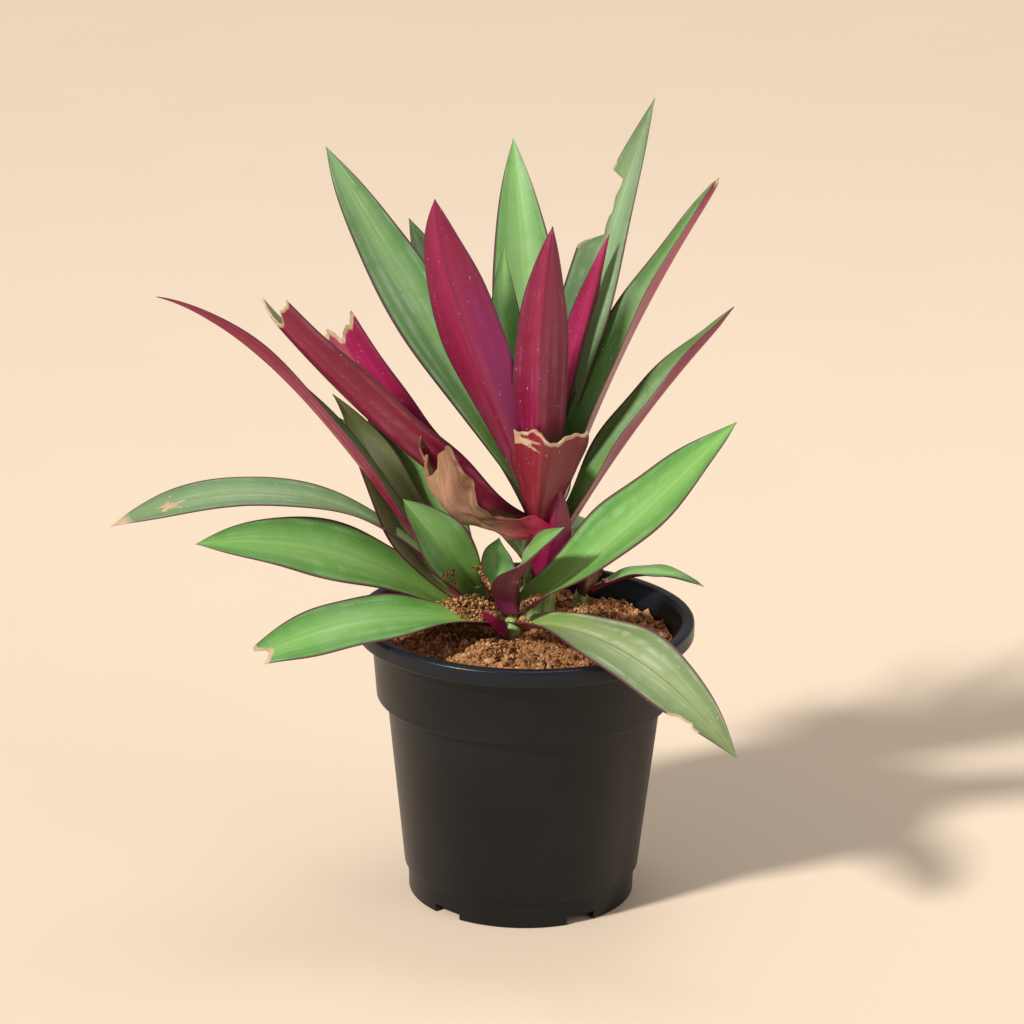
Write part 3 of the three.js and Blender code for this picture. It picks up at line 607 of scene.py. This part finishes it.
def dryness(leaf, s, t, u):
    """How dry the blade is there, from 0 to 1: at torn ends, round bites and at scars."""
    dry = 0.0
    if "dry_end" in leaf:
        dry = 1 - (1 - s) / leaf["dry_end"]
    for start, end, side, _ in leaf.get("bites", ()):
        if u * side > 0.86 and start - BITE_RUN_IN < t < end + 0.02:
            dry = 1.0
    for along, across, size in leaf.get("scars", ()):
        forward, sideways = (t - along) / size, (u - across) / (12 * size)
        star = 1 + 0.45 * math.sin(5 * math.atan2(sideways, forward))
        dry = max(dry, 1.2 - star * math.hypot(forward, sideways))
    return min(1.0, max(0.0, dry))


def build_leaf(name, leaf):
    """One leaf blade: its upper skin in one material, its under skin and margins in another."""
    upper_rows, under_rows, dry_rows, spread = leaf_rows(leaf, name)
    count = STATIONS * COLUMNS
    vertices = [v for rows in (upper_rows, under_rows) for row in rows for v in row]
    faces, kinds = [], []

    def at(row, column, sheet):
        return sheet * count + row * COLUMNS + column

    def quad(kind, *corners):
        faces.append(corners)
        kinds.append(kind)

    last_row, last_column = STATIONS - 1, COLUMNS - 1
    for r in range(last_row):
        for c in range(last_column):
            quad(0, at(r, c, 0), at(r + 1, c, 0), at(r + 1, c + 1, 0), at(r, c + 1, 0))
            quad(1, at(r, c, 1), at(r, c + 1, 1), at(r + 1, c + 1, 1), at(r + 1, c, 1))
        quad(1, at(r, 0, 0), at(r, 0, 1), at(r + 1, 0, 1), at(r + 1, 0, 0))
        quad(1, at(r, last_column, 0), at(r + 1, last_column, 0),
             at(r + 1, last_column, 1), at(r, last_column, 1))
    for c in range(last_column):
        quad(1, at(0, c, 0), at(0, c + 1, 0), at(0, c + 1, 1), at(0, c, 1))
        quad(0, at(last_row, c, 0), at(last_row, c, 1), at(last_row, c + 1, 1), at(last_row, c + 1, 0))
    materials = [LEAF_MATERIALS[leaf["upper"]], LEAF_MATERIALS[leaf["under"]]]
    piece = make_object(name + "_blade", vertices, faces, materials)
    mesh = piece.data
    mesh.polygons.foreach_set("material_index", kinds)
    layer = mesh.uv_layers.new(name="Leaf")
    for loop in mesh.loops:
        row, column = divmod(loop.vertex_index % count, COLUMNS)
        layer.data[loop.index].uv = (0.5 + 0.5 * spread[column], row / last_row)
    dry = mesh.attributes.new("dry", "FLOAT", "POINT")
    flat = [value for row in dry_rows for value in row]
    dry.data.foreach_set("value", flat + flat)
    smooth_shade(piece, 60)
    finish_piece(piece, [name])


for leaf_name, leaf_facts in LEAVES.items():
    build_leaf(leaf_name, leaf_facts)


# ---------------------------------------------------------------- stems

STEM_SIDES = 40
STEM_ROWS = 50
STEM_FILL = 0.93
STEM_RING_DEPTH = 0.05
STEM_TIP_START = 0.8
STEM_TIP_LEAST = 0.02


def build_stem(node):
    """A fleshy stem in its node's box, ringed along its length and rounded off at the top."""
    low, high = (np.array(corner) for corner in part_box(node))
    centre = (low + high) / 2
    radius = (high[0] - low[0]) / 2
    vertices, faces = [], []
    for i in range(STEM_ROWS):
        t = i / (STEM_ROWS - 1)
        z = low[2] + (high[2] - low[2]) * t
        swell = STEM_FILL + STEM_RING_DEPTH * math.sin(t * 40)
        into_tip = max(0.0, (t - STEM_TIP_START) / (1 - STEM_TIP_START))
        taper = math.sqrt(max(STEM_TIP_LEAST, 1 - into_tip ** 2))
        for k in range(STEM_SIDES):
            angle = 2 * math.pi * k / STEM_SIDES
            r = radius * swell * taper * (1 + 0.02 * math.sin(3 * angle + t * 6))
            vertices.append((centre[0] + r * math.cos(angle), centre[1] + r * math.sin(angle), z))
    for i in range(STEM_ROWS - 1):
        for k in range(STEM_SIDES):
            following = (k + 1) % STEM_SIDES
            a, b = i * STEM_SIDES, (i + 1) * STEM_SIDES
            faces.append((a + k, a + following, b + following, b + k))
    faces.append(tuple(reversed(range(STEM_SIDES))))
    top = (STEM_ROWS - 1) * STEM_SIDES
    faces.append(tuple(top + k for k in range(STEM_SIDES)))
    piece = make_object(node + "_flesh", vertices, faces, [STEM])
    smooth_shade(piece, 60)
    finish_piece(piece, [node])


for stem_node in ("main_stem", "left_stem", "front_stem", "side_stem"):
    build_stem(stem_node)


# ---------------------------------------------------------------- pot

POT_SIDES = 180
POT_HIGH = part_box("nursery_pot")[1]
LIP_RADIUS = POT_HIGH[0] / MM
POT_HEIGHT = POT_HIGH[2] / MM
LIP_HEIGHT = 7.5
LIP_INNER_RADIUS = 70
BAND_TOP_RADIUS = 68
BAND_BOTTOM_RADIUS = 65.5
BAND_BOTTOM = 91.5
BODY_TOP_RADIUS = 61
BODY_BOTTOM_RADIUS = 52.5
FOOT_RADIUS = 50.5
FOOT_HEIGHT = 12
FOOT_RING_WIDTH = 3
FOOT_RING_SLOPE = 1
FOOT_DRAFT = 0.4
FOOT_STEP = 0.6
BAND_STEP_BELOW = 0.5
BAND_STEP_ABOVE = 0.3
INNER_STEP = 2
BAND_INNER_RISE = 3
BAND_INNER_DROP = 1
LIP_INNER_EDGE = 1.2
LIP_INNER_DEPTH = 2.2
PAD_RADIUS = 16
PAD_SLOPE = 2
FLOOR_UNDERSIDE = 3.5
FLOOR_TOP = 5.5
WALL = 1.8
NOTCH_COUNT = 5
NOTCH_DEPTH = 12
NOTCH_WIDTH = 14
NOTCH_HEIGHT = 3.8
FIRST_NOTCH = math.radians(-58)
DRAIN_COUNT = 6
DRAIN_CIRCLE = 32
DRAIN_DIAMETER = 8
DRAIN_CUT_HEIGHT = 20
DRAIN_CUT_MIDDLE = 5


def rounded(corners, arc_points=5):
    """A profile whose corners, given as (r, z, rounding), are drawn as small curves."""
    line = []
    for i, (r, z, rounding) in enumerate(corners):
        here = Vector((r, z))
        if rounding == 0 or i in (0, len(corners) - 1):
            line.append(here)
            continue
        before = Vector(corners[i - 1][:2])
        after = Vector(corners[i + 1][:2])
        reach = min(rounding, (before - here).length * 0.45, (after - here).length * 0.45)
        start = here + (before - here).normalized() * reach
        end = here + (after - here).normalized() * reach
        for k in range(arc_points):
            t = k / (arc_points - 1)
            line.append(start * (1 - t) ** 2 + here * 2 * t * (1 - t) + end * t ** 2)
    return line


def pot_profile():
    """The pot wall as a closed line from the axis, under the floor, up outside and down inside."""
    lip_bottom = POT_HEIGHT - LIP_HEIGHT
    ring_inner = FOOT_RADIUS - FOOT_RING_WIDTH
    corners = [
        (0, 0, 0), (PAD_RADIUS, 0, 0.5), (PAD_RADIUS + PAD_SLOPE, FLOOR_UNDERSIDE, 0.8),
        (ring_inner - FOOT_RING_SLOPE, FLOOR_UNDERSIDE, 0.8), (ring_inner, 0, 0.3),
        (FOOT_RADIUS, 0, 0.5), (FOOT_RADIUS + FOOT_DRAFT, FOOT_HEIGHT, 0.4),
        (BODY_BOTTOM_RADIUS, FOOT_HEIGHT + FOOT_STEP, 0.6),
        (BODY_TOP_RADIUS, BAND_BOTTOM - BAND_STEP_BELOW, 0.6),
        (BAND_BOTTOM_RADIUS, BAND_BOTTOM + BAND_STEP_ABOVE, 0.9),
        (BAND_TOP_RADIUS, lip_bottom, 0.5), (LIP_RADIUS, lip_bottom, 1.2),
        (LIP_RADIUS, POT_HEIGHT, 1.8), (LIP_INNER_RADIUS, POT_HEIGHT, 1.2),
        (LIP_INNER_RADIUS - LIP_INNER_EDGE, POT_HEIGHT - LIP_INNER_DEPTH, 1.0),
        (BAND_TOP_RADIUS - WALL, lip_bottom - INNER_STEP, 1.5),
        (BAND_BOTTOM_RADIUS - WALL, BAND_BOTTOM + BAND_INNER_RISE, 1),
        (BODY_TOP_RADIUS - WALL, BAND_BOTTOM - BAND_INNER_DROP, 1),
        (FOOT_RADIUS - WALL + FOOT_DRAFT, FOOT_HEIGHT + INNER_STEP, 1),
        (FOOT_RADIUS - WALL, FLOOR_TOP, 1), (0, FLOOR_TOP, 0),
    ]
    return [point * MM for point in rounded(corners)]


def lathe(name, profile, sides, material):
    """A closed solid of revolution: the profile starts and ends on the axis."""
    vertices, faces = [], []
    inner = profile[1:-1]
    for point in inner:
        for k in range(sides):
            angle = 2 * math.pi * k / sides
            vertices.append((point.x * math.cos(angle), point.x * math.sin(angle), point.y))
    start, end = len(vertices), len(vertices) + 1
    vertices += [(0, 0, profile[0].y), (0, 0, profile[-1].y)]
    for i in range(len(inner) - 1):
        for k in range(sides):
            following = (k + 1) % sides
            a, b = i * sides, (i + 1) * sides
            faces.append((a + k, a + following, b + following, b + k))
    for k in range(sides):
        following = (k + 1) % sides
        last = (len(inner) - 1) * sides
        faces.append((start, following, k))
        faces.append((end, last + k, last + following))
    return make_object(name, vertices, faces, [material])


def cutter(kind, size, place, turn):
    """A box or a round bar to cut with, moved out to its place and turned about the axis."""
    shape = bmesh.new()
    if kind == "box":
        bmesh.ops.create_cube(shape, size=1)
    else:
        bmesh.ops.create_cone(shape, cap_ends=True, segments=32, radius1=0.5, radius2=0.5, depth=1)
    mesh = bpy.data.meshes.new("cutter")
    shape.to_mesh(mesh)
    shape.free()
    piece = bpy.data.objects.new("cutter", mesh)
    bpy.context.scene.collection.objects.link(piece)
    mesh.transform(Matrix.Diagonal((*size, 1)))
    mesh.transform(Matrix.Translation(place))
    mesh.transform(Matrix.Rotation(turn, 4, "Z"))
    return piece


def cut(piece, tool):
    """Take the tool's solid away from the piece, and delete the tool."""
    modifier = piece.modifiers.new("cut", "BOOLEAN")
    modifier.operation = "DIFFERENCE"
    modifier.solver = "EXACT"
    modifier.object = tool
    depsgraph = bpy.context.evaluated_depsgraph_get()
    result = bpy.data.meshes.new_from_object(piece.evaluated_get(depsgraph))
    piece.modifiers.clear()
    piece.data = result
    bpy.data.objects.remove(tool)


def build_pot():
    pot = lathe("nursery_pot_shell", pot_profile(), POT_SIDES, POT)
    notch_size = (NOTCH_DEPTH * MM, NOTCH_WIDTH * MM, 2 * NOTCH_HEIGHT * MM)
    for i in range(NOTCH_COUNT):
        turn = FIRST_NOTCH + i * 2 * math.pi / NOTCH_COUNT
        cut(pot, cutter("box", notch_size, (FOOT_RADIUS * MM, 0, 0), turn))
    drain_size = (DRAIN_DIAMETER * MM, DRAIN_DIAMETER * MM, DRAIN_CUT_HEIGHT * MM)
    for i in range(DRAIN_COUNT):
        turn = i * 2 * math.pi / DRAIN_COUNT
        cut(pot, cutter("drain", drain_size, (DRAIN_CIRCLE * MM, 0, DRAIN_CUT_MIDDLE * MM), turn))
    smooth_shade(pot, 40)
    finish_piece(pot, ["nursery_pot"])


build_pot()


# ---------------------------------------------------------------- soil

SOIL_LEVEL = 119
SOIL_RINGS = 130
SOIL_SIDES = 260
SOIL_RADIUS = 65.4
SOIL_EDGE_DROP = 0.6
# Level and radius of the soil's side, from under its edge down to the pot's floor.
SOIL_WALL = ((112, 64.6), (100, 63.5), (88, 58), (8, 47.5))
LOOSE_CRUMBS = 8800
CLUMP_CRUMBS = 620
SMALLEST_CRUMB = 0.32
CRUMB_RANGE = 1.25


def lumps(x, y):
    """Fine unevenness of the soil, in millimetres, at x and y in millimetres."""
    height = 1.0 * np.sin(x * 0.41 + 1.3 * np.sin(y * 0.37)) * np.cos(y * 0.45 + x * 0.12)
    height += 0.8 * np.sin(x * 0.97 + 2.1 * np.sin(y * 0.83 + 1)) * np.sin(y * 1.13)
    height += 0.5 * np.sin(x * 2.3 + y * 1.7) * np.cos(y * 2.6 - x * 1.1)
    return height


def soil_height(x, y):
    """The soil's level with its broad waves and its lumps, in millimetres."""
    broad = 1.6 * np.sin(x * 0.13 + 1) * np.cos(y * 0.11) + 0.9 * np.sin(x * 0.31 - y * 0.27)
    return SOIL_LEVEL + broad + lumps(x, y)


def build_soil_bed():
    """The soil as one closed body: a lumpy top, a side that follows the pot, and a flat bottom."""
    vertices, faces, tones = [(0, 0, soil_height(0, 0) * MM)], [], [0.4]
    for i in range(1, SOIL_RINGS + 1):
        r = SOIL_RADIUS * i / SOIL_RINGS
        for k in range(SOIL_SIDES):
            angle = 2 * math.pi * k / SOIL_SIDES
            x, y = r * math.cos(angle), r * math.sin(angle)
            grit = rng.uniform(-0.5, 0.5)
            edge = SOIL_EDGE_DROP * smooth(max(0, (i / SOIL_RINGS - 0.95) / 0.05))
            vertices.append((x * MM, y * MM, (soil_height(x, y) + grit - edge) * MM))
            # The tone follows the height: lighter on the lumps, darker in the hollows, which is painted
            # shade.
            tones.append(0.36 + 0.3 * grit + 0.2 * lumps(x, y))
    ring_count = len(vertices)
    for level, radius in SOIL_WALL:
        for k in range(SOIL_SIDES):
            angle = 2 * math.pi * k / SOIL_SIDES
            vertices.append((radius * math.cos(angle) * MM, radius * math.sin(angle) * MM, level * MM))
            # The soil's side, down along the pot wall, gets a dark tone: painted shade in the gap.
            tones.append(0.2)
    rings = SOIL_RINGS + (len(vertices) - ring_count) // SOIL_SIDES
    for k in range(SOIL_SIDES):
        faces.append((0, 1 + k, 1 + (k + 1) % SOIL_SIDES))
    for i in range(rings - 1):
        for k in range(SOIL_SIDES):
            following = (k + 1) % SOIL_SIDES
            a, b = 1 + i * SOIL_SIDES, 1 + (i + 1) * SOIL_SIDES
            faces.append((a + k, b + k, b + following, a + following))
    last = 1 + (rings - 1) * SOIL_SIDES
    faces.append(tuple(reversed([last + k for k in range(SOIL_SIDES)])))
    piece = make_object("potting_soil_bed", vertices, faces, [SOIL])
    tone = piece.data.attributes.new("tone", "FLOAT", "POINT")
    tone.data.foreach_set("value", tones)
    smooth_shade(piece, 50)
    finish_piece(piece, ["potting_soil"])


def icosahedron():
    """Corners and triangles of the shape that each crumb is squeezed from."""
    shape = bmesh.new()
    bmesh.ops.create_icosphere(shape, subdivisions=1, radius=1)
    points = np.array([v.co[:] for v in shape.verts])
    triangles = [[v.index for v in face.verts] for face in shape.faces]
    shape.free()
    return points, triangles


CRUMB_POINTS, CRUMB_FACES = icosahedron()


def crumbs(name, places, sizes):
    """Many small irregular lumps as one mesh, each with its own tone."""
    vertices, faces, tones = [], [], []
    for place, size in zip(places, sizes):
        first = len(vertices)
        turn = Matrix.Rotation(rng.uniform(0, 6.28), 3, Vector(rng.normal(size=3)).normalized())
        stretch = rng.uniform(0.4, 1.35, 3)
        points = CRUMB_POINTS * (1 + rng.uniform(-0.4, 0.4, (len(CRUMB_POINTS), 1))) * stretch * size
        tone = rng.uniform(0.05, 0.95)
        for point in points:
            vertices.append((np.array(turn @ Vector(point)) + place) * MM)
            tones.append(tone)
        faces += [[first + k for k in face] for face in CRUMB_FACES]
    piece = make_object(name, vertices, faces, [SOIL])
    attribute = piece.data.attributes.new("tone", "FLOAT", "POINT")
    attribute.data.foreach_set("value", tones)
    return piece


def build_loose_crumbs():
    """Crumbs strewn over the soil, few of them large."""
    radius = (SOIL_RADIUS - 1.5) * np.sqrt(rng.uniform(0, 1, LOOSE_CRUMBS))
    angle = rng.uniform(0, 2 * math.pi, LOOSE_CRUMBS)
    sizes = SMALLEST_CRUMB + CRUMB_RANGE * rng.uniform(0, 1, LOOSE_CRUMBS) ** 4
    x, y = radius * np.cos(angle), radius * np.sin(angle)
    z = soil_height(x, y) + sizes * 0.35
    piece = crumbs("loose_soil_crumbs", np.stack([x, y, z], 1), sizes)
    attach(piece, ROOT)


def build_clump(node):
    """A soil clump as a packed ball of crumbs that fills its node's box."""
    low, high = (np.array(corner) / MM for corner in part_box(node))
    centre, half = (low + high) / 2, (high - low) / 2
    directions = rng.normal(size=(CLUMP_CRUMBS, 3))
    directions /= np.linalg.norm(directions, axis=1)[:, None]
    reach = rng.uniform(0.15, 1, (CLUMP_CRUMBS, 1)) ** 0.5
    places = centre + directions * reach * half * 0.9
    piece = crumbs(node + "_crumbs", places, rng.uniform(0.4, 1.3, CLUMP_CRUMBS))
    finish_piece(piece, [node])


# Centre, half-size, number of crumbs and height of the heaps that lie on the leaf bases. Their
# crumbs fall from HEAP_TOP, above the leaf bases and below the tall leaves.
HEAP_TOP = 150
HEAPS = {
    "heap_on_small_leaf": ((-23, -5), (6, 6), 800, 7),
    "heap_on_left_leaves": ((-21, -9), (18, 8), 2100, 7),
    "heap_by_cup": ((15, 8), (4, 5), 260, 3),
    "heap_by_side_stem": ((28, 27), (12, 8), 700, 4),
    "heap_by_front_stem": ((-2, -14), (11, 7), 800, 4),
}


def surface_tree(names):
    """Everything that crumbs can land on, as one tree for finding the surface under a point."""
    vertices, faces = [], []
    for name in names:
        first = len(vertices)
        mesh = bpy.data.objects[name].data
        vertices += [v.co[:] for v in mesh.vertices]
        faces += [[first + k for k in face.vertices] for face in mesh.polygons]
    return BVHTree.FromPolygons(vertices, faces)


def build_heaps():
    """Crumbs dropped on the leaf bases, stacked higher towards the middle of each heap."""
    landing = surface_tree([name + "_blade" for name in LEAVES] + ["potting_soil_bed"])
    for name, (centre, half, count, depth) in HEAPS.items():
        places, sizes = [], []
        for _ in range(count):
            angle, share = rng.uniform(0, 2 * math.pi), math.sqrt(rng.uniform(0, 1))
            x = centre[0] + half[0] * share * math.cos(angle)
            y = centre[1] + half[1] * share * math.sin(angle)
            size = 0.25 + 0.75 * rng.uniform(0, 1) ** 2
            top = Vector((x * MM, y * MM, HEAP_TOP * MM))
            hit = landing.ray_cast(top, Vector((0, 0, -1)))[0]
            if hit is None:
                continue
            stack = depth * (1 - share ** 2) * rng.uniform(0, 1)
            places.append(np.array((x, y, hit.z / MM + 0.4 * size + stack)))
            sizes.append(size)
        piece = crumbs(name, places, sizes)
        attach(piece, ROOT)


build_soil_bed()
build_loose_crumbs()
build_heaps()
for clump_node in ("soil_clump_left", "soil_clump_front", "soil_clump_right", "soil_clump_back"):
    build_clump(clump_node)


# ---------------------------------------------------------------- stage, light and camera

FLOOR_REACH = 14.0
FLOOR_GAP = 0.0002
CAMERA_DISTANCE = 1.5
CAMERA_HEIGHT = 0.646
CAMERA_PITCH = math.radians(17.4)
CAMERA_YAW = math.radians(-0.25)
CAMERA_ROLL = math.radians(0.9)
CAMERA_LENS = 126
SENSOR_WIDTH = 36
LIGHT_TARGET = (0, 0, 0.17)


def build_stage():
    """A wide pale floor, large enough to fill the picture from every side."""
    paper = plain_material("pale_paper", (0.88, 0.72, 0.56), 0.9)
    corners = [(sign_x * FLOOR_REACH, sign_y * FLOOR_REACH, -FLOOR_GAP)
               for sign_x, sign_y in ((-1, -1), (1, -1), (1, 1), (-1, 1))]
    make_object("studio_floor", corners, [(0, 1, 2, 3)], [paper])


def sun_light(name, towards, softness, strength, rgb):
    data = bpy.data.lights.new(name, "SUN")
    data.angle = math.radians(softness)
    data.energy = strength
    data.color = rgb
    lamp = bpy.data.objects.new(name, data)
    bpy.context.scene.collection.objects.link(lamp)
    lamp.rotation_euler = Vector(towards).to_track_quat("-Z", "Y").to_euler()


def area_light(name, place, target, size, watts, rgb):
    data = bpy.data.lights.new(name, "AREA")
    data.shape = "DISK"
    data.size = size
    data.energy = watts
    data.color = rgb
    lamp = bpy.data.objects.new(name, data)
    bpy.context.scene.collection.objects.link(lamp)
    lamp.location = place
    lamp.rotation_euler = (Vector(target) - Vector(place)).to_track_quat("-Z", "Y").to_euler()


def build_camera():
    """A camera in front of the pot, looking slightly down and turned a little about its own axis."""
    forward = Vector((math.sin(CAMERA_YAW) * math.cos(CAMERA_PITCH),
                      math.cos(CAMERA_YAW) * math.cos(CAMERA_PITCH), -math.sin(CAMERA_PITCH)))
    level = Vector((math.cos(CAMERA_YAW), -math.sin(CAMERA_YAW), 0))
    up = level.cross(forward)
    right = level * math.cos(CAMERA_ROLL) + up * math.sin(CAMERA_ROLL)
    up = right.cross(forward)
    data = bpy.data.cameras.new("photo_camera")
    data.sensor_width = SENSOR_WIDTH
    data.lens = CAMERA_LENS
    camera = bpy.data.objects.new("photo_camera", data)
    bpy.context.scene.collection.objects.link(camera)
    place = Matrix.Translation((0, -CAMERA_DISTANCE, CAMERA_HEIGHT))
    camera.matrix_world = place @ Matrix((right, up, -forward)).transposed().to_4x4()
    bpy.context.scene.camera = camera


def build_light():
    """A soft sunny studio: a warm sky, a key from the front left and two weak soft lamps."""
    world = bpy.data.worlds.new("studio")
    world.use_nodes = True
    background = world.node_tree.nodes["Background"]
    background.inputs["Color"].default_value = (1.0, 0.96, 0.91, 1)
    background.inputs["Strength"].default_value = 0.3
    bpy.context.scene.world = world
    sun_light("key", (0.62, 0.52, -0.62), 7, 3.25, (1.0, 0.97, 0.92))
    area_light("fill", (1.6, -1.0, 0.9), LIGHT_TARGET, 1.2, 5, (1.0, 0.97, 0.94))
    area_light("top", (0.2, 0.5, 1.7), LIGHT_TARGET, 0.8, 5, (1.0, 0.99, 0.97))
    bpy.context.scene.view_settings.view_transform = "Standard"


build_stage()
build_light()
build_camera()
